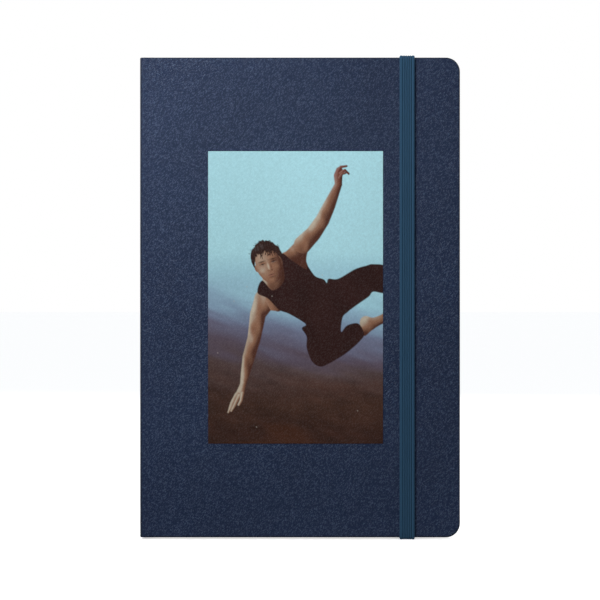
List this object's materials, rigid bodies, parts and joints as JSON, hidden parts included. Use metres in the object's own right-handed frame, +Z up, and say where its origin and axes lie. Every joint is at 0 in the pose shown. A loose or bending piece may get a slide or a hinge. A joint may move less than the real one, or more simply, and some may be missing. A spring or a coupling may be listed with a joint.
{
  "type": "notebook",
  "caption": "Hardcover logbook standing on its tail edge: navy grained covers, a printed picture panel, sewn cream pages and a flat elastic closure.",
  "frame": {"origin": "middle of the bottom of the object's box, on the surface that the book stands on", "axes": "+X from the spine to the fore-edge, -Y out of the front cover, +Z up towards the head"},
  "size_m": [0.14, 0.0182, 0.2119],
  "materials": {
    "cover_leather": "navy grained leatherette, low sheen",
    "board": "grey pulp board",
    "endpaper": "heavy cream endpaper",
    "page": "cream writing paper",
    "lining": "open-weave crash cloth and kraft lining",
    "thread": "waxed linen thread",
    "book_band": "woven cotton book band, navy",
    "elastic": "dark teal woven elastic with lengthways ribs",
    "print": "printed picture on the grained leatherette"
  },
  "bodies": {
    "back_cover": {"back_leather": "cover_leather", "back_board": "board", "back_pastedown": "endpaper", "back_flyleaf": "endpaper", "signature_05": "page", "signature_06": "page", "signature_07": "page", "signature_08": "page", "signature_09": "page", "signature_10": "page", "sewing_thread_1": "thread", "sewing_thread_2": "thread", "sewing_thread_3": "thread", "sewing_thread_4": "thread", "sewing_thread_5": "thread", "mull": "lining", "spine_lining": "lining", "head_band": "book_band", "tail_band": "book_band", "band_head_anchor": "elastic", "band_tail_anchor": "elastic"},
    "spine": {"spine_leather": "cover_leather", "spine_board": "board"},
    "front_cover": {"front_leather": "cover_leather", "front_board": "board", "front_pastedown": "endpaper", "cover_picture": "print"},
    "leaf_front_flyleaf": {"front_flyleaf": "endpaper"},
    "leaf_lifting_signature_01": {"lifting_signature_01": "page"},
    "leaf_lifting_signature_02": {"lifting_signature_02": "page"},
    "leaf_lifting_signature_03": {"lifting_signature_03": "page"},
    "leaf_lifting_signature_04": {"lifting_signature_04": "page"},
    "band_wraps": {"band_head_wrap": "elastic", "band_tail_wrap": "elastic"},
    "band_front": {"band_front_span": "elastic"}
  },
  "joints": [
    {"name": "spine_hinge", "type": "hinge", "parent": "back_cover", "child": "spine", "pos_m": [-0.066, 0.00827, 0.10595], "axis": [0, 0, -1], "range_deg": [0, 90]},
    {"name": "front_cover_hinge", "type": "hinge", "parent": "spine", "child": "front_cover", "pos_m": [-0.066, -0.00827, 0.10595], "axis": [0, 0, -1], "range_deg": [0, 176]},
    {"name": "front_flyleaf_turn", "type": "hinge", "parent": "back_cover", "child": "leaf_front_flyleaf", "pos_m": [-0.06595, -0.0049, 0.10595], "axis": [0, 0, -1], "range_deg": [0, 71.4]},
    {"name": "lifting_signature_01_turn", "type": "hinge", "parent": "back_cover", "child": "leaf_lifting_signature_01", "pos_m": [-0.06635, -0.00428, 0.10595], "axis": [0, 0, -1], "range_deg": [0, 12.97]},
    {"name": "lifting_signature_02_turn", "type": "hinge", "parent": "back_cover", "child": "leaf_lifting_signature_02", "pos_m": [-0.06635, -0.00332, 0.10595], "axis": [0, 0, -1], "range_deg": [0, 9.98]},
    {"name": "lifting_signature_03_turn", "type": "hinge", "parent": "back_cover", "child": "leaf_lifting_signature_03", "pos_m": [-0.06635, -0.00237, 0.10595], "axis": [0, 0, -1], "range_deg": [0, 6.98]},
    {"name": "lifting_signature_04_turn", "type": "hinge", "parent": "back_cover", "child": "leaf_lifting_signature_04", "pos_m": [-0.06635, -0.00143, 0.10595], "axis": [0, 0, -1], "range_deg": [0, 3.99]},
    {"name": "band_release", "type": "hinge", "parent": "back_cover", "child": "band_wraps", "pos_m": [0.0595, 0.00047, 0.10595], "axis": [0, 0, 1], "range_deg": [0, 288.03]},
    {"name": "band_turn", "type": "hinge", "parent": "band_wraps", "child": "band_front", "pos_m": [0.0469, -0.00868, 0.10595], "axis": [0, 0, 1], "range_deg": [-109.03, 1], "deforming": ["band_front_span"]}
  ],
  "couplings": [
    {"joint": "front_flyleaf_turn", "follows": "front_cover_hinge", "ratio": 0.4},
    {"joint": "lifting_signature_01_turn", "follows": "front_cover_hinge", "ratio": 0.068},
    {"joint": "lifting_signature_02_turn", "follows": "front_cover_hinge", "ratio": 0.051},
    {"joint": "lifting_signature_03_turn", "follows": "front_cover_hinge", "ratio": 0.034},
    {"joint": "lifting_signature_04_turn", "follows": "front_cover_hinge", "ratio": 0.017},
    {"joint": "band_turn", "follows": "band_release", "ratio": -0.37506}
  ]
}
